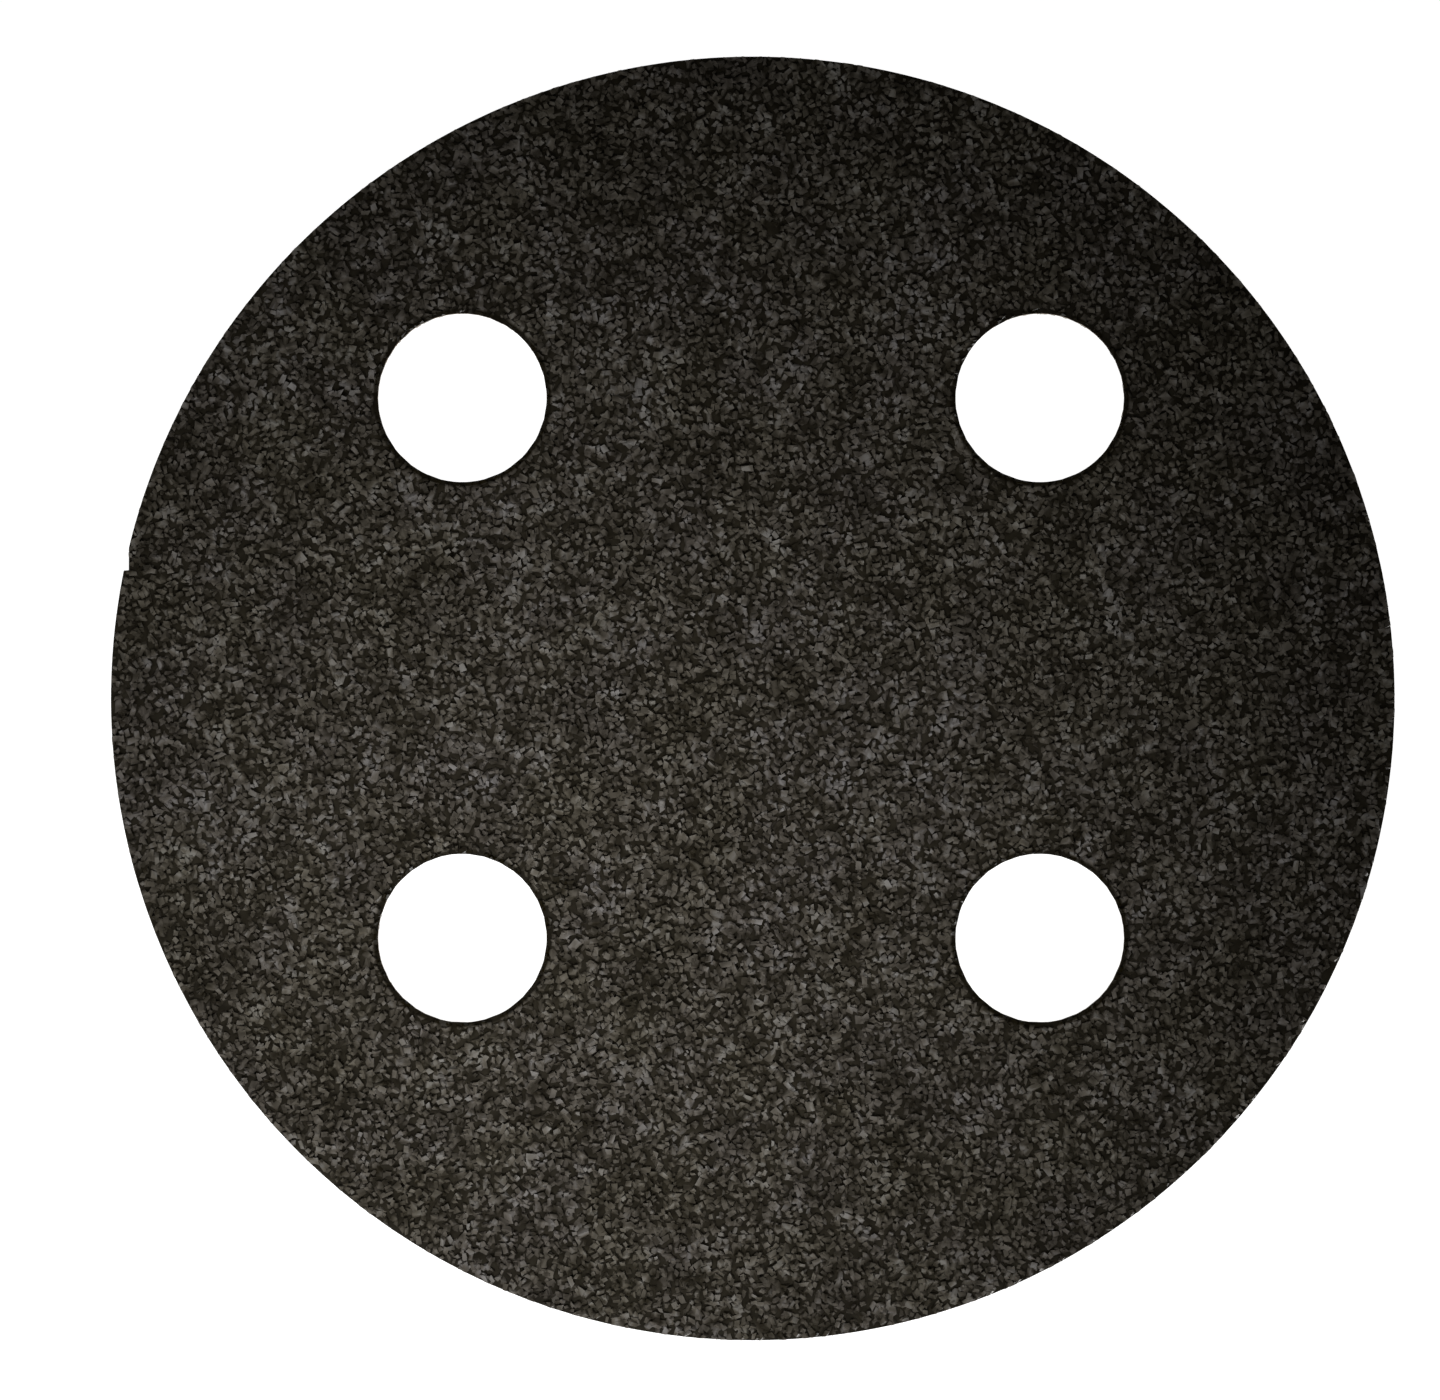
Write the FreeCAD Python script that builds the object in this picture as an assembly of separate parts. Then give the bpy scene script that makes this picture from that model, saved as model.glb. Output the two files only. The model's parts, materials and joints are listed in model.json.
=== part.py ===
import FreeCAD, Part
import math
import os

from FreeCAD import Vector

# Hook and loop sanding disc: a laminate of loop fabric, heavy paper and a coat of grit in resin,
# punched out in one stroke with its dust holes. It lies on its loop side, grit side up.
# Millimetres. The origin is the centre of the loop side, +Z points out of the grit side,
# and +Y points to the edge that the hole pattern sits nearer to.

# Outline
DISC_DIAMETER = 76.0

# Dust holes: one at each corner of a rectangle, whose centre lies off the disc's own
HOLE_DIAMETER = 10.0
HOLE_SPACING_X = 34.2
HOLE_SPACING_Y = 32.0
PATTERN_OFFSET_X = -0.1
PATTERN_OFFSET_Y = 1.8

# Thickness of each layer, from the loop side up
LOOP_THICKNESS = 0.75
PAPER_THICKNESS = 0.4
GRIT_THICKNESS = 0.6

# Edges: the loops round off at the outer rim, and the punch leaves a bevel elsewhere
LOOP_RIM_RADIUS = 0.35
LOOP_HOLE_BEVEL = 0.25
GRIT_RIM_BEVEL = 0.12
GRIT_HOLE_BEVEL = 0.2

# A small chip out of the outer rim: its step is at this angle from +X, and a straight flank
# runs from the step's inner end back out to the rim, parallel to Y
CHIP_ANGLE_DEG = 168.5
CHIP_DEPTH = 0.3

# How far a cutting tool stands past what it cuts
OVERRUN = 1.0

disc_radius = DISC_DIAMETER / 2
hole_radius = HOLE_DIAMETER / 2

# The layers lie face to face, so each starts where the one under it ends
loop_top = LOOP_THICKNESS
paper_top = loop_top + PAPER_THICKNESS
grit_top = paper_top + GRIT_THICKNESS


def hole_centres():
    """Centres of the dust holes, row by row."""
    for row in (-1, 1):
        for column in (-1, 1):
            yield Vector(PATTERN_OFFSET_X + column * HOLE_SPACING_X / 2,
                         PATTERN_OFFSET_Y + row * HOLE_SPACING_Y / 2, 0)


def punched_layer(bottom, thickness):
    """One layer of the laminate, as the punch leaves it: round, with square-edged dust holes."""
    layer = Part.makeCylinder(disc_radius, thickness, Vector(0, 0, bottom))
    for centre in hole_centres():
        pin = Part.makeCylinder(hole_radius, thickness + 2 * OVERRUN,
                                centre + Vector(0, 0, bottom - OVERRUN))
        layer = layer.cut(pin)
    return layer


def circles(shape, radius, height):
    """Circular edges of a shape that have this radius and lie at this height."""
    same = Part.Precision.confusion()
    round_edges = [edge for edge in shape.Edges if isinstance(edge.Curve, Part.Circle)]
    return [edge for edge in round_edges
            if abs(edge.Curve.Radius - radius) < same and abs(edge.Curve.Center.z - height) < same]


def rim_chip():
    """Tool for the chip: a block whose inner face is the flank and whose low end is the step."""
    angle = math.radians(CHIP_ANGLE_DEG)
    step_y = disc_radius * math.sin(angle)
    flank_x = disc_radius * math.cos(angle) + CHIP_DEPTH
    flank_end_y = math.sqrt(disc_radius ** 2 - flank_x ** 2)
    outside_x = -disc_radius - OVERRUN
    return Part.makeBox(flank_x - outside_x, flank_end_y - step_y + OVERRUN, grit_top + 2 * OVERRUN,
                        Vector(outside_x, step_y, -OVERRUN))


# Brushed loops lean over at every edge, so the fabric thins out there on its loop side
loop_fabric = punched_layer(0, LOOP_THICKNESS)
loop_fabric = loop_fabric.makeFillet(LOOP_RIM_RADIUS, circles(loop_fabric, disc_radius, 0))
loop_fabric = loop_fabric.makeChamfer(LOOP_HOLE_BEVEL, circles(loop_fabric, hole_radius, 0))

# The paper keeps the punch's square cut
backing_paper = punched_layer(loop_top, PAPER_THICKNESS)

# The coat is drawn down where the punch goes in, and loses a little less along the rim
grit_coat = punched_layer(paper_top, GRIT_THICKNESS)
grit_coat = grit_coat.makeChamfer(GRIT_RIM_BEVEL, circles(grit_coat, disc_radius, grit_top))
grit_coat = grit_coat.makeChamfer(GRIT_HOLE_BEVEL, circles(grit_coat, hole_radius, grit_top))

layers = {
    "loop_fabric": loop_fabric,
    "backing_paper": backing_paper,
    "grit_coat": grit_coat,
}

os.makedirs("parts", exist_ok=True)
for name, layer in layers.items():
    shape = layer.cut(rim_chip())
    shape.exportStep(os.path.join("parts", name + ".step"))
    box = shape.optimalBoundingBox()
    print(f"{name}: {len(shape.Solids)} solid, valid {shape.isValid()}, {shape.Volume:.1f} mm3, "
          f"{box.XLength:.3f} x {box.YLength:.3f} x {box.ZLength:.3f} mm")
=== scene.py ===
import json
import math

import bpy
import numpy as np
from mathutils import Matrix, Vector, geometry


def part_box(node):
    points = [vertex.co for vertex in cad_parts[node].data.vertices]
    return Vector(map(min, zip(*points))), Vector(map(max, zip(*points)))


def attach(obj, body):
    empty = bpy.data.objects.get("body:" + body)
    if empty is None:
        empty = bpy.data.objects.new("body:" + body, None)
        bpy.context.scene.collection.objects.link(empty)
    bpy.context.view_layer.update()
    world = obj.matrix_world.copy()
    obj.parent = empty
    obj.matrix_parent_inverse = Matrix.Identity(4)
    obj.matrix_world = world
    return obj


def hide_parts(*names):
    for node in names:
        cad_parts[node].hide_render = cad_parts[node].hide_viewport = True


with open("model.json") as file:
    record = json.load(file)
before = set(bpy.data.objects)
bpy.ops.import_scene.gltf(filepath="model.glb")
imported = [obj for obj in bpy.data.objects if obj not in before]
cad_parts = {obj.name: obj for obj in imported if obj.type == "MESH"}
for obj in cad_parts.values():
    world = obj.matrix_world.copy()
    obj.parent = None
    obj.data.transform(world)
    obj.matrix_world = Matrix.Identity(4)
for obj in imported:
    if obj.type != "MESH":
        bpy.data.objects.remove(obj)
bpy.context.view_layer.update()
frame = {"nodes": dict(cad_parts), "record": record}

# Looks of a hook and loop sanding disc: dark grains standing in resin, on heavy paper, over a
# knitted fabric of brushed loops. Metres throughout. The frame gives the outline, the layers'
# heights and the dust holes. In the values below, a pair of numbers is a least and a most, or,
# where the name ends in SHAPE, what a beta distribution takes.

MM = 0.001

# The disc, from the frame
rim_low, rim_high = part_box("grit_coat")
DISC_RADIUS = (rim_high.x - rim_low.x) / 2
GRIT_TOP = rim_high.z
PAPER_TOP = rim_low.z
LOOP_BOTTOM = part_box("loop_fabric")[0].z
LOOP_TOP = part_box("loop_fabric")[1].z
holes = next(mount for mount in frame["record"]["mounts"] if mount["name"] == "dust_holes")
HOLE_RADIUS = holes["dims"]["hole_r_mm"] * MM
HOLE_CENTRES = np.array([
    (holes["pos_m"][0] + column * holes["dims"]["spacing_x_mm"] * MM / 2,
     holes["pos_m"][1] + row * holes["dims"]["spacing_y_mm"] * MM / 2)
    for row in (-1, 1) for column in (-1, 1)
])

# The small chip in the rim: the angle of its step from +X, and its depth
CHIP_ANGLE = math.radians(168.5)
CHIP_DEPTH = 0.3 * MM
CHIP_STEP_Y = DISC_RADIUS * math.sin(CHIP_ANGLE)
CHIP_FLANK_X = DISC_RADIUS * math.cos(CHIP_ANGLE) + CHIP_DEPTH

# How finely the cut edges and the flat faces between them are drawn
RIM_POINTS = 480
HOLE_POINTS = 96
RESIN_MESH = 0.55 * MM
GROUND_MESH = 1.2 * MM
GLUED_MESH = 3 * MM
MESH_MARGIN = 0.6
SHARP_EDGE = math.radians(50)

# Tolerances: how far inside the cut edges a scattered place lies at the least, how far past them
# the middle of a triangle may lie, the least distance that anything is divided by, and how far
# apart two points may be and still be one
SCATTER_MARGIN = 0.05 * MM
EDGE_SLACK = 0.02 * MM
LEAST_DISTANCE = 0.01 * MM
SAME_POINT = 1e-9

# Bevels that the punch draws down in the coat. The one round the holes is also steeper.
RIM_BEVEL = 0.12 * MM
HOLE_BEVEL = 0.2 * MM
HOLE_BEVEL_SLOPE = 1.4

# Resin bed: its depth, its ripples, and how it thins out along the cut edges
RESIN_DEPTH = 0.2 * MM
RESIN_RIPPLE = 0.05 * MM
RIPPLE_PITCH = 1.1 * MM
RIPPLE_WAVES = 8
RIPPLE_LENGTHS = (0.7, 1.6)
RIPPLE_SEED = 4
RESIN_EDGE_DROP = 0.08 * MM
RESIN_EDGE_WIDTH = 2 * HOLE_BEVEL

# Grains: how they are scattered, and how a grain of one unit is cut, stretched and sized
GRAIN_PITCH = 0.375 * MM
GRAIN_SHIFT = 0.55
GRAIN_SEED = 11
GRAIN_CORNERS = 8
GRAIN_CUTS = 7
CUT_DEPTHS = (0.55, 0.95)
CUT_GRAZING = 0.05
CORNER_REACH = 1.25
STRETCH_LEAST = (1.0, 0.71, 0.61)
STRETCH_MOST = (1.65, 1.1, 0.95)
GRAIN_SPREAD_OUT = (1.05, 1.05, 1.0)
GRAIN_SIZE = 0.48 * MM
GRAIN_SIZE_SPREAD = 0.2
GRAIN_SIZE_SHARES = (0.6, 1.5)
GRAIN_DROP = 0.3 * MM
GRAIN_DROP_SHAPE = (1.3, 2.0)
GRAIN_FLOOR = 0.02 * MM
GRAIN_BANDS = 3

# Grain colour: the shares of the streaks, of each grain's tone and of each broken face's, what
# is added to them, and the share of it all that is left low down in the coat, partly for the
# resin over the grains and partly as painted shade in the crevices between them
STREAK_SHARE = 0.62
GRAIN_SHARE = 0.20
GRAIN_TONE_SHAPE = (1.5, 1.7)
FACET_SHARE = 0.06
FACET_TONE_SHAPE = (1.0, 1.3)
LEAST_TONE = 0.035
RESIN_AND_SHADE_SHARE = 0.75

# Dark ring round a dust hole
DARK_RING_START = 0.20 * MM
DARK_RING_END = 0.34 * MM

# Patterns, in bumps to the metre, and the part of their noise that is stretched into tones
STREAKS = 900
STREAK_NOISE = (0.33, 0.67)
PATCHES = 150
PATCH_NOISE = (0.35, 0.65)
PATCH_TONES = (0.84, 1.10)
TINTS = 260
RESIN_MOTTLE = 1500
PAPER_FIBRES = 9000
KNIT_FIBRES = 7000

# Knitted ground
GROUND_DEPTH = 0.3 * MM
GROUND_FACE = LOOP_TOP - GROUND_DEPTH
WALE_PITCH = 0.85 * MM
COURSE_PITCH = 0.62 * MM
STITCH_LEAN = 0.7
STITCH_SHARE = 0.85
FIBRE_SHARE = 0.25

# Brushed loops
LOOP_PITCH = 0.58 * MM
LOOP_SHIFT = 0.45
LOOP_MARGIN = 0.15 * MM
LOOP_SEED = 23
LOOP_THREAD = 0.085 * MM
LOOP_BULGE = 0.6
LOOP_HALF_SPANS = (0.10 * MM, 0.20 * MM)
LOOP_LEANS = (0.25 * MM, 0.75 * MM)
LOOP_DEPTH = 0.36 * MM
LOOP_DEPTH_SPREAD = 0.07 * MM
LOOP_DEPTHS = (0.2 * MM, 0.46 * MM)
LOOP_FOOT = 0.04 * MM
LOOP_TONE_SHAPE = (2.0, 1.4)
LOOP_STEPS = 6
LOOP_BANDS = 3
TUBE_SIDES = 3
TUBE_CORNERS = TUBE_SIDES * LOOP_STEPS
NAP_HEADING = -math.pi / 2
NAP_SPREAD = 0.75
TWIST_SPREAD = 0.35

# Share of half a cell of the surface map that the small shape in it takes
CELL_FILL = 0.36


def outline_margin(x, y):
    """How far a place lies inside the disc's cut edges: the least of its distance in from the rim
    and its distances out from the four holes. It is negative where the punch has cut."""
    inside = DISC_RADIUS - np.hypot(x, y)
    for hole_x, hole_y in HOLE_CENTRES:
        inside = np.minimum(inside, np.hypot(x - hole_x, y - hole_y) - HOLE_RADIUS)
    return inside


def chipped(x, y):
    """True where the chip has taken the rim away: beyond the flank and above the step."""
    return (x < CHIP_FLANK_X) & (y > CHIP_STEP_Y) & (y < DISC_RADIUS / 2)


def cut_to_outline(places):
    """Bring places that the punch would cut back to its cut: a place past the rim moves in along
    its radius, one in a hole moves out along the hole's radius, and one past the chip's flank
    moves straight in to it."""
    x, y = places[..., 0], places[..., 1]
    radius = np.hypot(x, y)
    shrink = np.minimum(1, DISC_RADIUS / np.maximum(radius, LEAST_DISTANCE))
    x, y = x * shrink, y * shrink
    for hole_x, hole_y in HOLE_CENTRES:
        from_x, from_y = x - hole_x, y - hole_y
        distance = np.maximum(np.hypot(from_x, from_y), LEAST_DISTANCE)
        grow = np.maximum(1, HOLE_RADIUS / distance)
        x, y = hole_x + from_x * grow, hole_y + from_y * grow
    x = np.where(chipped(x, y), CHIP_FLANK_X, x)
    return np.stack([x, y, places[..., 2]], axis=-1)


def scattered(pitch, shift, random):
    """Places of a hexagonal grid over the disc, each moved by up to shift times the pitch both
    ways, less those that fall outside the cut edges or just inside them."""
    rows = np.arange(-DISC_RADIUS, DISC_RADIUS, pitch * math.sqrt(3) / 2)
    columns = np.arange(-DISC_RADIUS, DISC_RADIUS, pitch)
    x, y = np.meshgrid(columns, rows)
    x = x + (np.arange(len(rows)) % 2)[:, None] * pitch / 2
    x = x + random.uniform(-shift, shift, x.shape) * pitch
    y = y + random.uniform(-shift, shift, y.shape) * pitch
    keep = (outline_margin(x, y) > SCATTER_MARGIN) & ~chipped(x, y)
    return np.column_stack([x[keep], y[keep]])


def mesh_piece(name, points, faces, material, smooth=False):
    """A new mesh object from an array of points and one of faces, which all have the same number
    of sides. It rides on the disc's only body."""
    points = np.asarray(points, np.float32).reshape(-1, 3)
    faces = np.asarray(faces, np.int32)
    sides = faces.shape[1]
    mesh = bpy.data.meshes.new(name)
    mesh.vertices.add(len(points))
    mesh.vertices.foreach_set("co", points.ravel())
    mesh.loops.add(faces.size)
    mesh.loops.foreach_set("vertex_index", faces.ravel())
    mesh.polygons.add(len(faces))
    mesh.polygons.foreach_set("loop_start", np.arange(0, faces.size, sides, dtype=np.int32))
    mesh.polygons.foreach_set("use_smooth", np.full(len(faces), smooth))
    mesh.update(calc_edges=True)
    mesh.validate()
    mesh.materials.append(material)
    piece = bpy.data.objects.new(name, mesh)
    bpy.context.scene.collection.objects.link(piece)
    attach(piece, "root")
    return piece


def like_shapes(name, corners, faces, cell_places, material, smooth=False):
    """One piece of many small shapes that share their faces: corners holds an array of points for
    each shape, and cell_places says where the faces' corners lie in a shape's own cell of the
    surface map."""
    count, corner_count = corners.shape[:2]
    first_corner = corner_count * np.arange(count)[:, None, None]
    piece = mesh_piece(name, corners, (faces[None] + first_corner).reshape(-1, 3), material, smooth)
    lay_out_cells(piece, count, cell_places)
    return piece


def paint(piece, name, values, domain="POINT"):
    """Keep one number for each point or face of a piece, for its material to read."""
    layer = piece.data.attributes.new(name, "FLOAT", domain)
    layer.data.foreach_set("value", np.asarray(values, np.float32).ravel())


def lay_out_cells(piece, count, cell_places):
    """Give each of a piece's small shapes a square cell of its own on the surface map. The corners
    of a shape's faces lie at the same places in every cell, which run from -1 to 1 about its
    middle."""
    across = math.ceil(math.sqrt(count))
    shape = np.arange(count)
    corner = np.stack([shape % across, shape // across], axis=-1)[:, None, :]
    places = (corner + 0.5 + CELL_FILL * cell_places[None, :, :]) / across
    layer = piece.data.uv_layers.new(name="OFBake")
    layer.uv.foreach_set("vector", places.astype(np.float32).ravel())


# Materials

def new_material(name):
    """A material with an empty node tree, and its output."""
    material = bpy.data.materials.new(name)
    material.use_nodes = True
    material.node_tree.nodes.clear()
    output = material.node_tree.nodes.new("ShaderNodeOutputMaterial")
    return material, material.node_tree, output


def add(tree, kind, **settings):
    """A node of one kind, with its properties set."""
    node = tree.nodes.new(kind)
    for key, value in settings.items():
        setattr(node, key, value)
    return node


def surface(tree, output, roughness, specular):
    """A principled shader, joined to the output."""
    shader = add(tree, "ShaderNodeBsdfPrincipled")
    shader.inputs["Roughness"].default_value = roughness
    shader.inputs["Specular IOR Level"].default_value = specular
    tree.links.new(shader.outputs[0], output.inputs["Surface"])
    return shader


def ramp(tree, source, stops):
    """A colour ramp over a source socket, from pairs of place and colour."""
    node = add(tree, "ShaderNodeValToRGB")
    elements = node.color_ramp.elements
    while len(elements) < len(stops):
        elements.new(0.5)
    for element, (place, colour) in zip(elements, stops):
        element.position = place
        element.color = (*colour, 1)
    tree.links.new(source, node.inputs["Fac"])
    return node.outputs["Color"]


def noise(tree, scale, detail=3.0, roughness=0.5, distortion=0.0):
    """Noise in the object's own space, with its scale in bumps to the metre."""
    place = add(tree, "ShaderNodeTexCoord")
    node = add(tree, "ShaderNodeTexNoise")
    node.inputs["Scale"].default_value = scale
    node.inputs["Detail"].default_value = detail
    node.inputs["Roughness"].default_value = roughness
    node.inputs["Distortion"].default_value = distortion
    tree.links.new(place.outputs["Object"], node.inputs["Vector"])
    return node.outputs["Fac"]


def object_axes(tree):
    """The three parts of a place in the object's own space."""
    place = add(tree, "ShaderNodeTexCoord")
    axes = add(tree, "ShaderNodeSeparateXYZ")
    tree.links.new(place.outputs["Object"], axes.inputs[0])
    return axes.outputs


def stretched(tree, source, low, high, to_low=0.0, to_high=1.0):
    """A socket's values from low to high, spread over a new range and held to it."""
    node = add(tree, "ShaderNodeMapRange")
    node.inputs["From Min"].default_value = low
    node.inputs["From Max"].default_value = high
    node.inputs["To Min"].default_value = to_low
    node.inputs["To Max"].default_value = to_high
    tree.links.new(source, node.inputs["Value"])
    return node.outputs["Result"]


def maths(tree, operation, first, second=None):
    """One operation on a socket, with a second socket or a number where it takes one."""
    node = add(tree, "ShaderNodeMath", operation=operation)
    tree.links.new(first, node.inputs[0])
    if second is None:
        return node.outputs[0]
    if isinstance(second, float):
        node.inputs[1].default_value = second
    else:
        tree.links.new(second, node.inputs[1])
    return node.outputs[0]


def vector_step(tree, operation, first, second=None):
    """One vector operation on a socket, with a fixed vector where it takes one."""
    node = add(tree, "ShaderNodeVectorMath", operation=operation)
    tree.links.new(first, node.inputs[0])
    if second is not None:
        node.inputs[1].default_value = second
    return node


def dark_hole_ring(tree):
    """How much of the coat's tone is left near a dust hole: 0 at the hole's edge, 1 past a dark ring
    round it. The four holes are mirror images of each other about the pattern's middle, so the place
    is folded into one quarter and measured from that quarter's hole."""
    middle = HOLE_CENTRES.mean(axis=0)
    half_spacing = HOLE_CENTRES.max(axis=0) - middle
    place = add(tree, "ShaderNodeTexCoord")
    shifted = vector_step(tree, "SUBTRACT", place.outputs["Object"], (*middle, 0))
    folded = vector_step(tree, "ABSOLUTE", shifted.outputs[0])
    from_hole = vector_step(tree, "SUBTRACT", folded.outputs[0], (*half_spacing, 0))
    level = vector_step(tree, "MULTIPLY", from_hole.outputs[0], (1, 1, 0))
    distance = vector_step(tree, "LENGTH", level.outputs[0]).outputs["Value"]
    return stretched(tree, distance, HOLE_RADIUS + DARK_RING_START, HOLE_RADIUS + DARK_RING_END)


def resin_and_crevice_shade(tree):
    """How much of its tone the coat keeps at a height: least just over the bed, most near the tips.
    Low down this is partly the resin over the grains' lower flanks and partly painted shade in the
    crevices between grains.
    """
    bed = PAPER_TOP + 1.2 * RESIN_DEPTH
    tips = GRIT_TOP - 0.1 * MM
    return stretched(tree, object_axes(tree)["Z"], bed, tips, to_low=RESIN_AND_SHADE_SHARE, to_high=1.0)


def coat_colour(tree, tone, stops):
    """The coat's colour for a tone: darker in soft patches over the disc, near black in a ring round
    the dust holes, and here a little more olive, there a little bluer."""
    patches = stretched(tree, noise(tree, PATCHES, detail=2), *PATCH_NOISE, *PATCH_TONES)
    tone = maths(tree, "MULTIPLY", tone, patches)
    tone = maths(tree, "MULTIPLY", tone, dark_hole_ring(tree))
    tint = ramp(tree, noise(tree, TINTS, detail=2), [
        (0.36, (1.006, 1.006, 0.955)),
        (0.64, (0.994, 0.989, 1.032)),
    ])
    tinted = vector_step(tree, "MULTIPLY", ramp(tree, tone, stops))
    tree.links.new(tint, tinted.inputs[1])
    return tinted.outputs[0]


def bump(tree, shader, height, strength, distance):
    """Raise a shader's surface by a height socket."""
    node = add(tree, "ShaderNodeBump")
    node.inputs["Strength"].default_value = strength
    node.inputs["Distance"].default_value = distance
    tree.links.new(height, node.inputs["Height"])
    tree.links.new(node.outputs["Normal"], shader.inputs["Normal"])


def grain_material():
    """Crushed grain: near black to dark warm grey, in streaks that run on from grain to grain, with
    a little more tone for each grain and each broken face, and a dull glassy shine."""
    material, tree, output = new_material("dark_abrasive_grain")
    shader = surface(tree, output, roughness=0.5, specular=0.15)
    grain = add(tree, "ShaderNodeAttribute", attribute_name="grain_tone")
    facet = add(tree, "ShaderNodeAttribute", attribute_name="facet_tone")
    streak = noise(tree, STREAKS, detail=1, roughness=1.0, distortion=0.7)
    streak = stretched(tree, streak, *STREAK_NOISE)
    tone = maths(tree, "MULTIPLY", grain.outputs["Fac"], GRAIN_SHARE)
    tone = maths(tree, "ADD", tone, maths(tree, "MULTIPLY", facet.outputs["Fac"], FACET_SHARE))
    tone = maths(tree, "ADD", tone, maths(tree, "MULTIPLY", streak, STREAK_SHARE))
    tone = maths(tree, "ADD", tone, LEAST_TONE)
    # Painted shade: the tone is darkened low in the coat, partly for the resin over the grains' flanks
    # and partly as shade in the crevices between grains.
    colour = coat_colour(tree, maths(tree, "MULTIPLY", tone, resin_and_crevice_shade(tree)), [
        (0.0, (0.0100, 0.0070, 0.0010)),
        (0.5, (0.1120, 0.0990, 0.0800)),
        (1.0, (0.2620, 0.2530, 0.2405)),
    ])
    tree.links.new(colour, shader.inputs["Base Color"])
    return material


def resin_material():
    """Size coat between the grains: very dark brown, slightly glossy, mottled."""
    material, tree, output = new_material("dark_resin_bed")
    shader = surface(tree, output, roughness=0.6, specular=0.1)
    mottle = noise(tree, RESIN_MOTTLE, detail=1)
    colour = coat_colour(tree, mottle, [
        (0.3, (0.0080, 0.0056, 0.0014)),
        (0.7, (0.0230, 0.0187, 0.0108)),
    ])
    tree.links.new(colour, shader.inputs["Base Color"])
    bump(tree, shader, mottle, strength=0.6, distance=0.05 * MM)
    return material


def paper_material():
    """Heavy brown paper: pale fibres in a mottled tan, with a rough cut edge."""
    material, tree, output = new_material("heavy_brown_paper")
    shader = surface(tree, output, roughness=0.85, specular=0.2)
    fibres = noise(tree, PAPER_FIBRES, detail=6, roughness=0.65)
    colour = ramp(tree, fibres, [
        (0.35, (0.16, 0.11, 0.068)),
        (0.65, (0.40, 0.30, 0.20)),
    ])
    tree.links.new(colour, shader.inputs["Base Color"])
    bump(tree, shader, fibres, strength=0.7, distance=0.06 * MM)
    return material


def nylon(name, roughness):
    """A matt, slightly downy nylon surface: its material, tree and shader."""
    material, tree, output = new_material(name)
    shader = surface(tree, output, roughness, specular=0.25)
    shader.inputs["Sheen Weight"].default_value = 0.25
    return material, tree, shader


def ground_material():
    """Knitted ground: rows of V-shaped stitches. With u counting wales, v counting courses and k
    for how far the stitches lean, the height is |sin(pi (v + k |2 fract(u) - 1|))| times
    |sin(pi u)|, with fine fibres added. The colour follows the height, so the hollows are painted darker, as shade."""
    material, tree, shader = nylon("knitted_ground", roughness=0.85)
    axes = object_axes(tree)
    wales = maths(tree, "MULTIPLY", axes["X"], 1 / WALE_PITCH)
    courses = maths(tree, "MULTIPLY", axes["Y"], 1 / COURSE_PITCH)
    across = maths(tree, "FRACT", wales)
    leg = maths(tree, "ABSOLUTE", maths(tree, "SUBTRACT", maths(tree, "MULTIPLY", across, 2.0), 1.0))
    row = maths(tree, "ADD", courses, maths(tree, "MULTIPLY", leg, STITCH_LEAN))
    stitch = maths(tree, "ABSOLUTE", maths(tree, "SINE", maths(tree, "MULTIPLY", row, math.pi)))
    wale = maths(tree, "ABSOLUTE", maths(tree, "SINE", maths(tree, "MULTIPLY", wales, math.pi)))
    stitches = maths(tree, "MULTIPLY", maths(tree, "MULTIPLY", stitch, wale), STITCH_SHARE)
    fibres = maths(tree, "MULTIPLY", noise(tree, KNIT_FIBRES, detail=4, roughness=0.6), FIBRE_SHARE)
    height = maths(tree, "ADD", stitches, fibres)
    # Painted shade: the colour darkens into the hollows between stitches.
    colour = ramp(tree, height, [
        (0.1, (0.26, 0.25, 0.23)),
        (0.8, (0.60, 0.58, 0.54)),
    ])
    tree.links.new(colour, shader.inputs["Base Color"])
    bump(tree, shader, height, strength=0.8, distance=0.15 * MM)
    return material


def loop_material():
    """Brushed loops: off-white, each a little lighter or darker than the next."""
    material, tree, shader = nylon("brushed_nylon_loops", roughness=0.7)
    tone = add(tree, "ShaderNodeAttribute", attribute_name="loop_tone")
    colour = ramp(tree, tone.outputs["Fac"], [
        (0.0, (0.56, 0.54, 0.50)),
        (1.0, (0.80, 0.78, 0.73)),
    ])
    tree.links.new(colour, shader.inputs["Base Color"])
    return material


# Flat sheets with the disc's outline

def cut_edges():
    """The disc's cut edges as closed lines of points: the rim with its chip, then the holes."""
    turn = np.linspace(0, 2 * math.pi, RIM_POINTS, endpoint=False)
    rim = DISC_RADIUS * np.column_stack([np.cos(turn), np.sin(turn)])
    flank_end_y = math.sqrt(DISC_RADIUS ** 2 - CHIP_FLANK_X ** 2)
    before = rim[turn < math.pi - math.asin(flank_end_y / DISC_RADIUS)]
    after = rim[turn > CHIP_ANGLE]
    chip = np.array([
        (CHIP_FLANK_X, flank_end_y),
        (CHIP_FLANK_X, (flank_end_y + CHIP_STEP_Y) / 2),
        (CHIP_FLANK_X, CHIP_STEP_Y),
        (DISC_RADIUS * math.cos(CHIP_ANGLE), CHIP_STEP_Y),
    ])
    turn = np.linspace(0, 2 * math.pi, HOLE_POINTS, endpoint=False)
    circle = HOLE_RADIUS * np.column_stack([np.cos(turn), np.sin(turn)])
    return [np.vstack([before, chip, after])] + [centre + circle for centre in HOLE_CENTRES]


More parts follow.
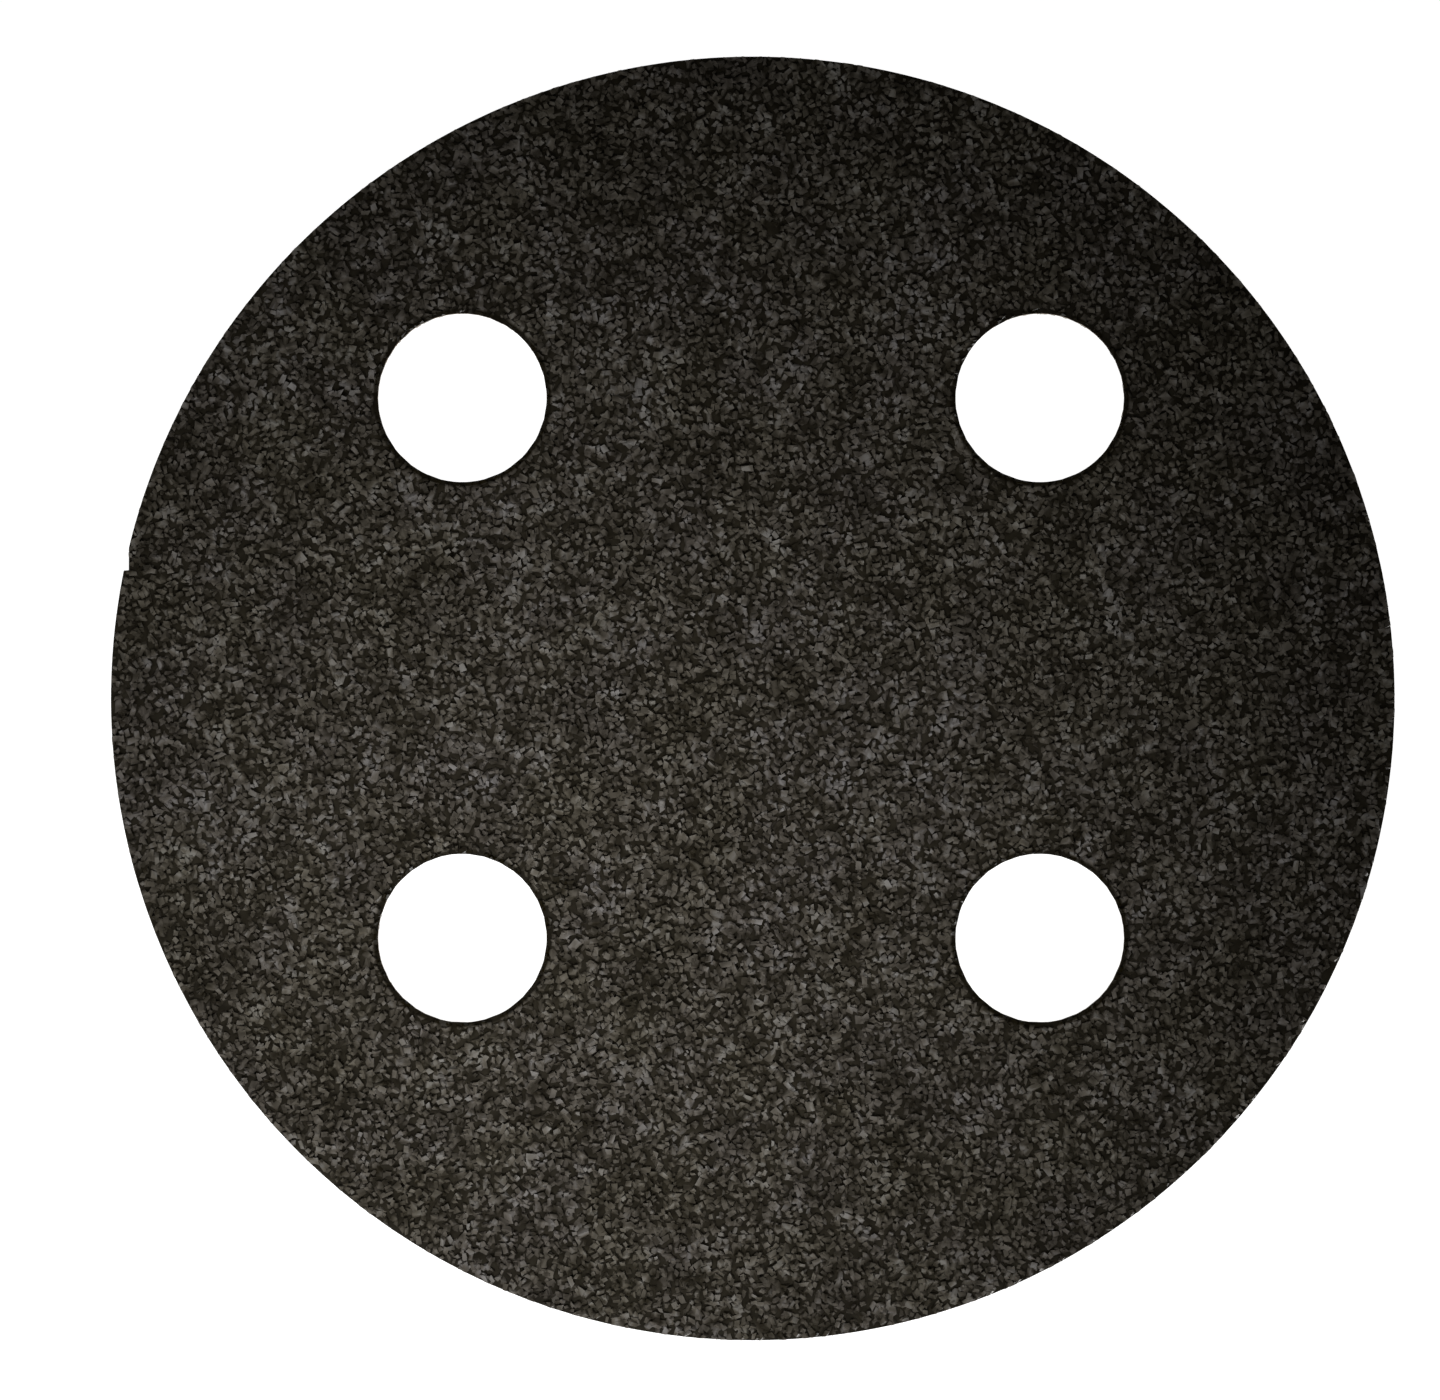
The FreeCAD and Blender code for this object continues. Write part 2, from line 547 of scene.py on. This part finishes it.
def punched_face(pitch):
    """Points and triangles of one flat face of the disc: the cut edges' points, a hexagonal grid
    between them, and the constrained triangulation that joins them."""
    loops = cut_edges()
    grid = scattered(pitch, shift=0, random=np.random.default_rng(0))
    grid = grid[outline_margin(*grid.T) > MESH_MARGIN * min(pitch, MM)]
    edges = []
    start = 0
    for loop in loops:
        index = start + np.arange(len(loop))
        edges.append(np.column_stack([index, np.roll(index, -1)]))
        start += len(loop)
    points = np.vstack(loops + [grid])
    found = geometry.delaunay_2d_cdt(points.tolist(), np.vstack(edges).tolist(), [], 0, SAME_POINT)
    points, triangles = np.array(found[0]), np.array(found[2])
    middle = points[triangles].mean(axis=1)
    inside = (outline_margin(*middle.T) > -EDGE_SLACK) & ~chipped(*middle.T)
    return points, triangles[inside]


def glued_sheet(name, shown, shown_height, glued_height, material):
    """A solid sheet: the face that shows, at its own heights, a coarse flat face where it is glued
    down, and a wall of two triangles between them along every cut edge. Both faces start with the
    same points, those of the cut edges, so a wall joins points of the same number. Where the face
    that shows lies under the glued one, all faces are turned over, so that they point outwards."""
    points, triangles = shown
    hidden, hidden_triangles = punched_face(GLUED_MESH)
    count = len(points)
    front = np.column_stack([points, shown_height])
    back = np.column_stack([hidden, np.full(len(hidden), glued_height)])
    sides = np.vstack([triangles[:, [0, 1]], triangles[:, [1, 2]], triangles[:, [2, 0]]])
    _, place, times = np.unique(np.sort(sides, axis=1), axis=0, return_inverse=True,
                                return_counts=True)
    a, b = sides[times[place.ravel()] == 1].T
    walls = np.vstack([
        np.column_stack([b, a, a + count]),
        np.column_stack([b, a + count, b + count]),
    ])
    faces = np.vstack([triangles, hidden_triangles[:, ::-1] + count, walls])
    if glued_height > shown_height.mean():
        faces = faces[:, ::-1]
    sheet = mesh_piece(name, np.vstack([front, back]), faces, material, smooth=True)
    sheet.data.set_sharp_from_angle(angle=SHARP_EDGE)
    return sheet


def ripple(x, y, pitch, seed):
    """Smooth random heights, nearly all from -1 to 1: sine waves of about one pitch, each with its
    own direction, phase and length, added up and divided by half their number."""
    random = np.random.default_rng(seed)
    total = np.zeros_like(x)
    for _ in range(RIPPLE_WAVES):
        angle = random.uniform(0, 2 * math.pi)
        phase = random.uniform(0, 2 * math.pi)
        length = pitch * random.uniform(*RIPPLE_LENGTHS)
        total += np.sin((x * math.cos(angle) + y * math.sin(angle)) * 2 * math.pi / length + phase)
    return total / (RIPPLE_WAVES / 2)


# Grit coat

def grain_corners():
    """The eight corners of a grain before it is broken, each one unit from its middle."""
    sides = (-1, 1)
    return np.array([(x, y, z) for z in sides for y in sides for x in sides]) / math.sqrt(3)


def grain_faces():
    """Twelve triangles: two on each of the six sides between the corners."""
    sides = [(0, 2, 3, 1), (4, 5, 7, 6), (0, 1, 5, 4), (2, 6, 7, 3), (0, 4, 6, 2), (1, 3, 7, 5)]
    return np.array([face for a, b, c, d in sides for face in ((a, b, c), (a, c, d))])


def turned(count, random):
    """Random rotations, as matrices from unit quaternions."""
    q = random.normal(size=(count, 4))
    w, x, y, z = (q / np.linalg.norm(q, axis=1, keepdims=True)).T
    return np.stack([
        np.stack([1 - 2 * (y * y + z * z), 2 * (x * y - w * z), 2 * (x * z + w * y)], axis=-1),
        np.stack([2 * (x * y + w * z), 1 - 2 * (x * x + z * z), 2 * (y * z - w * x)], axis=-1),
        np.stack([2 * (x * z - w * y), 2 * (y * z + w * x), 1 - 2 * (x * x + y * y)], axis=-1),
    ], axis=1)


def coat_ceiling(x, y):
    """The height that no grain passes: the coat's top, drawn down over the bevels along the rim
    and, more steeply, round the holes."""
    edge_in = DISC_RADIUS - np.hypot(x, y)
    ceiling = GRIT_TOP - np.maximum(0, RIM_BEVEL - edge_in)
    for hole_x, hole_y in HOLE_CENTRES:
        out = np.hypot(x - hole_x, y - hole_y) - HOLE_RADIUS
        ceiling = np.minimum(ceiling, GRIT_TOP - np.maximum(0, HOLE_BEVEL - out) * HOLE_BEVEL_SLOPE)
    return ceiling


def grains(places, random):
    """Broken grains at these places. Each corner of a grain lies on its direction where the nearest
    of a few random flat cuts crosses it. The whole is stretched, turned and sized, and then set so
    that its tip is at a random height under the coat's top. A grain that wouldn't reach the resin
    is drawn out downwards until it does."""
    count = len(places)
    directions = grain_corners()
    normals = random.normal(size=(count, GRAIN_CUTS, 3))
    normals /= np.linalg.norm(normals, axis=2, keepdims=True)
    depths = random.uniform(*CUT_DEPTHS, (count, GRAIN_CUTS))
    toward = np.einsum("jc,nkc->njk", directions, normals)
    reach = depths[:, None, :] / np.maximum(toward, CUT_GRAZING)
    reach = np.where(toward > CUT_GRAZING, reach, np.inf).min(axis=2)
    corners = directions[None] * np.minimum(reach, CORNER_REACH)[:, :, None]
    corners *= random.uniform(STRETCH_LEAST, STRETCH_MOST, (count, 1, 3))
    corners = np.einsum("nij,nkj->nki", turned(count, random), corners)
    share = np.clip(random.lognormal(0, GRAIN_SIZE_SPREAD, count), *GRAIN_SIZE_SHARES)
    corners *= (GRAIN_SIZE / 2 * share)[:, None, None] * np.array(GRAIN_SPREAD_OUT)
    drop = random.beta(*GRAIN_DROP_SHAPE, count) * GRAIN_DROP
    tip = GRIT_TOP - drop
    below = corners[:, :, 2].max(axis=1, keepdims=True) - corners[:, :, 2]
    rooted = (tip - PAPER_TOP - RESIN_DEPTH / 2) / below.max(axis=1)
    corners[:, :, 2] = tip[:, None] - below * np.maximum(1, rooted)[:, None]
    corners[:, :, :2] += places[:, None, :]
    corners = cut_to_outline(corners)
    ceiling = coat_ceiling(corners[..., 0], corners[..., 1])
    corners[..., 2] = np.clip(corners[..., 2], PAPER_TOP + GRAIN_FLOOR, ceiling)
    return corners


def resin_bed():
    """The resin that holds the grains: a rippled face that thins out at the cut edges."""
    face = punched_face(RESIN_MESH)
    x, y = face[0].T
    heights = PAPER_TOP + RESIN_DEPTH + RESIN_RIPPLE * ripple(x, y, RIPPLE_PITCH, RIPPLE_SEED)
    from_edge = np.clip(outline_margin(x, y) / RESIN_EDGE_WIDTH, 0, 1)
    heights -= RESIN_EDGE_DROP * (1 - from_edge)
    bed = glued_sheet("resin_bed", face, heights, PAPER_TOP, resin_material())
    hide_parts("grit_coat")


def grit_grains():
    """The grains, in bands from left to right, with a tone for each and for each broken face."""
    random = np.random.default_rng(GRAIN_SEED)
    material = grain_material()
    places = scattered(GRAIN_PITCH, GRAIN_SHIFT, random)
    places = places[np.argsort(places[:, 0], kind="stable")]
    corners = grains(places, random)
    faces = grain_faces()
    tone = random.beta(*GRAIN_TONE_SHAPE, len(places))
    facet_tone = random.beta(*FACET_TONE_SHAPE, (len(places), len(faces)))
    # On the surface map the lower corners make a square, and the upper ones one of half the size
    ring = np.repeat([1.0, 0.5], GRAIN_CORNERS // 2)
    cell_places = (grain_corners()[:, :2] * math.sqrt(3) * ring[:, None])[faces.ravel()]
    for band, members in enumerate(np.array_split(np.arange(len(places)), GRAIN_BANDS)):
        piece = like_shapes(f"grit_grains_{band + 1}", corners[members], faces, cell_places, material)
        paint(piece, "grain_tone", np.repeat(tone[members], GRAIN_CORNERS))
        paint(piece, "facet_tone", facet_tone[members], "FACE")
        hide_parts("grit_coat")


resin_bed()
grit_grains()


# Paper

paper = frame["nodes"]["backing_paper"]
paper.data.materials.clear()
paper.data.materials.append(paper_material())


# Loop fabric

def thread_loops(roots, random):
    """Centre lines of the brushed loops, from foot to foot. At a share t of the way, a loop is
    cos(pi t) of half its span to the side, bulging at its top, it has risen by sin(pi t) of its
    depth, and it leans over along the nap by the same share of its lean."""
    count = len(roots)
    rise = np.sin(math.pi * np.linspace(0, 1, LOOP_STEPS))
    swing = np.cos(math.pi * np.linspace(0, 1, LOOP_STEPS)) * (1 + LOOP_BULGE * rise)
    nap = random.normal(NAP_HEADING, NAP_SPREAD, count)
    twist = nap + math.pi / 2 + random.normal(0, TWIST_SPREAD, count)
    half_span = random.uniform(*LOOP_HALF_SPANS, count)
    lean = random.uniform(*LOOP_LEANS, count)
    depth = np.clip(random.normal(LOOP_DEPTH, LOOP_DEPTH_SPREAD, count), *LOOP_DEPTHS)
    line = np.empty((count, LOOP_STEPS, 3))
    for axis, part in ((0, np.cos), (1, np.sin)):
        line[..., axis] = roots[:, axis, None] \
            + part(twist)[:, None] * half_span[:, None] * swing \
            + part(nap)[:, None] * lean[:, None] * rise
    line[..., 2] = GROUND_FACE + LOOP_FOOT - depth[:, None] * rise
    line = cut_to_outline(line)
    line[..., 2] = np.maximum(line[..., 2], LOOP_BOTTOM + LOOP_THREAD / 2)
    return line


def thread_tubes(line):
    """Three-sided tubes round centre lines: at each point, three corners on a circle square to the
    line, counted round from its side that lies level."""
    along = np.gradient(line, axis=1)
    along /= np.maximum(np.linalg.norm(along, axis=2, keepdims=True), SAME_POINT)
    nearly_up = (0.05, 0.02, 1.0)
    level = np.cross(along, nearly_up)
    level /= np.linalg.norm(level, axis=2, keepdims=True)
    upright = np.cross(level, along)
    turn = (np.arange(TUBE_SIDES) * 2 * math.pi / TUBE_SIDES)[None, None, :, None]
    circle = np.cos(turn) * level[:, :, None, :] + np.sin(turn) * upright[:, :, None, :]
    tubes = line[:, :, None, :] + LOOP_THREAD / 2 * circle
    return tubes.reshape(len(line), TUBE_CORNERS, 3)


def tube_faces():
    """Triangles of one tube: two on each side of each step, and one over each end."""
    faces = [(2, 1, 0)]
    for step in range(LOOP_STEPS - 1):
        for side in range(TUBE_SIDES):
            a = TUBE_SIDES * step + side
            b = TUBE_SIDES * step + (side + 1) % TUBE_SIDES
            faces += [(a, b, b + TUBE_SIDES), (a, b + TUBE_SIDES, a + TUBE_SIDES)]
    last = TUBE_CORNERS - TUBE_SIDES
    faces.append((last, last + 1, last + 2))
    return np.array(faces)


def knitted_ground():
    """The knitted ground: a face at one height, glued to the paper."""
    face = punched_face(GROUND_MESH)
    heights = np.full(len(face[0]), GROUND_FACE)
    ground = glued_sheet("knitted_ground", face, heights, LOOP_TOP, ground_material())
    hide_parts("loop_fabric")


def brushed_loops():
    """The brushed loops that stand out of the ground, the ones that a pad's hooks catch, in bands
    from left to right."""
    random = np.random.default_rng(LOOP_SEED)
    material = loop_material()
    roots = scattered(LOOP_PITCH, LOOP_SHIFT, random)
    roots = roots[outline_margin(*roots.T) > LOOP_MARGIN]
    roots = roots[np.argsort(roots[:, 0], kind="stable")]
    tubes = thread_tubes(thread_loops(roots, random))
    tone = random.beta(*LOOP_TONE_SHAPE, len(roots))
    faces = tube_faces()
    cell_places = np.column_stack([
        np.repeat(np.linspace(-1, 1, LOOP_STEPS), TUBE_SIDES),
        np.tile(np.linspace(-1, 1, TUBE_SIDES), LOOP_STEPS),
    ])[faces.ravel()]
    for band, members in enumerate(np.array_split(np.arange(len(roots)), LOOP_BANDS)):
        piece = like_shapes(f"brushed_loops_{band + 1}", tubes[members], faces, cell_places, material,
                            smooth=True)
        paint(piece, "loop_tone", np.repeat(tone[members], TUBE_CORNERS))
        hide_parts("loop_fabric")


knitted_ground()
brushed_loops()


# Camera: it looks straight down. The picture's places are pixels of a frame 1440 wide and 1400 high.

PICTURE_WIDTH = 1440
PICTURE_HEIGHT = 1400
DISC_PIXEL = (752.8, 698.4)
DISC_PIXEL_RADIUS = 642.4
LENS = 250
SENSOR = 36

pixel = DISC_RADIUS / DISC_PIXEL_RADIUS
camera_data = bpy.data.cameras.new("camera")
camera_data.lens = LENS
camera_data.sensor_width = SENSOR
camera = bpy.data.objects.new("camera", camera_data)
camera.location = (
    (PICTURE_WIDTH / 2 - DISC_PIXEL[0]) * pixel,
    (DISC_PIXEL[1] - PICTURE_HEIGHT / 2) * pixel,
    GRIT_TOP + PICTURE_WIDTH * pixel * LENS / SENSOR,
)
bpy.context.scene.collection.objects.link(camera)
bpy.context.scene.camera = camera


# Floor

FLOOR_HALF = 3.0
FLOOR_GREY = 0.5
FLOOR_WHITE = 0.94


def floor_material():
    """Plain pale bench. To the camera it adds its own white to what the lamps give it, so it is
    white with a soft shadow, and from below it can be seen through."""
    material, tree, output = new_material("pale_bench")
    matt = add(tree, "ShaderNodeBsdfDiffuse")
    matt.inputs["Color"].default_value = (FLOOR_GREY, FLOOR_GREY, FLOOR_GREY, 1)
    glow = add(tree, "ShaderNodeEmission")
    glow.inputs["Strength"].default_value = FLOOR_WHITE
    both = add(tree, "ShaderNodeAddShader")
    tree.links.new(matt.outputs[0], both.inputs[0])
    tree.links.new(glow.outputs[0], both.inputs[1])
    path = add(tree, "ShaderNodeLightPath")
    seen = add(tree, "ShaderNodeMath", operation="MAXIMUM")
    tree.links.new(path.outputs["Is Camera Ray"], seen.inputs[0])
    tree.links.new(path.outputs["Is Transmission Ray"], seen.inputs[1])
    by_ray = add(tree, "ShaderNodeMixShader")
    tree.links.new(seen.outputs[0], by_ray.inputs["Fac"])
    tree.links.new(matt.outputs[0], by_ray.inputs[1])
    tree.links.new(both.outputs[0], by_ray.inputs[2])
    clear = add(tree, "ShaderNodeBsdfTransparent")
    side = add(tree, "ShaderNodeNewGeometry")
    by_side = add(tree, "ShaderNodeMixShader")
    tree.links.new(side.outputs["Backfacing"], by_side.inputs["Fac"])
    tree.links.new(by_ray.outputs[0], by_side.inputs[1])
    tree.links.new(clear.outputs[0], by_side.inputs[2])
    tree.links.new(by_side.outputs[0], output.inputs["Surface"])
    return material


floor_mesh = bpy.data.meshes.new("floor")
floor_mesh.from_pydata([(-FLOOR_HALF, -FLOOR_HALF, 0), (FLOOR_HALF, -FLOOR_HALF, 0),
                        (FLOOR_HALF, FLOOR_HALF, 0), (-FLOOR_HALF, FLOOR_HALF, 0)], [], [(0, 1, 2, 3)])
floor_mesh.materials.append(floor_material())
floor = bpy.data.objects.new("floor", floor_mesh)
floor.visible_shadow = False
bpy.context.scene.collection.objects.link(floor)


# Lamps

POOL_MIDDLE = (-0.0125, -0.0182, 0)
POOL_CONE = 0.304
POOL_POWER = 4.48
POOL_LAMP_RADIUS = 0.025


def set_lamp(name, data, place, aim):
    """Put a lamp at a place, turned to its aim."""
    light = bpy.data.objects.new(name, data)
    light.location = place
    toward = np.array(aim) - np.array(place)
    length = np.linalg.norm(toward)
    light.rotation_euler = (math.acos(-toward[2] / length), 0, math.atan2(-toward[0], toward[1]))
    bpy.context.scene.collection.objects.link(light)


def square_lamp(name, place, aim, size, power):
    """A square soft lamp."""
    data = bpy.data.lights.new(name, "AREA")
    data.shape = "SQUARE"
    data.size = size
    data.energy = power
    set_lamp(name, data, place, aim)


def pool_lamp(name, place, share):
    """A round lamp that gives a share of the pool's light. The pool fades smoothly from its middle
    to its edge."""
    data = bpy.data.lights.new(name, "SPOT")
    data.spot_size = POOL_CONE
    data.spot_blend = 1.0
    data.shadow_soft_size = POOL_LAMP_RADIUS
    data.energy = share * POOL_POWER
    set_lamp(name, data, place, POOL_MIDDLE)


# Three soft spots share one pool of light, which fades to the upper right. The one at the lower
# left is the strongest. A square lamp lights the loop side from below.
pool_lamp("key_lamp", place=(-0.060, -0.180, 0.280), share=0.60)
pool_lamp("left_lamp", place=(-0.190, 0.060, 0.280), share=0.20)
pool_lamp("right_lamp", place=(0.120, -0.130, 0.290), share=0.20)
square_lamp("under_lamp", place=(0.16, -0.20, -0.20), aim=(0, 0, 0), size=0.15, power=1.2)


# Room light, and the white that the camera sees past the floor

ROOM_LIGHT = 0.150
WHITE = (1, 1, 1, 1)

world = bpy.data.worlds.new("studio")
world.use_nodes = True
bpy.context.scene.world = world
world_tree = world.node_tree
world_tree.nodes.clear()
world_output = world_tree.nodes.new("ShaderNodeOutputWorld")
room = add(world_tree, "ShaderNodeBackground")
room.inputs["Color"].default_value = WHITE
room.inputs["Strength"].default_value = ROOM_LIGHT
backdrop = add(world_tree, "ShaderNodeBackground")
backdrop.inputs["Color"].default_value = WHITE
backdrop.inputs["Strength"].default_value = 1.0
path = add(world_tree, "ShaderNodeLightPath")
choice = add(world_tree, "ShaderNodeMixShader")
world_tree.links.new(path.outputs["Is Camera Ray"], choice.inputs["Fac"])
world_tree.links.new(room.outputs[0], choice.inputs[1])
world_tree.links.new(backdrop.outputs[0], choice.inputs[2])
world_tree.links.new(choice.outputs[0], world_output.inputs["Surface"])

bpy.context.scene.view_settings.view_transform = "Standard"
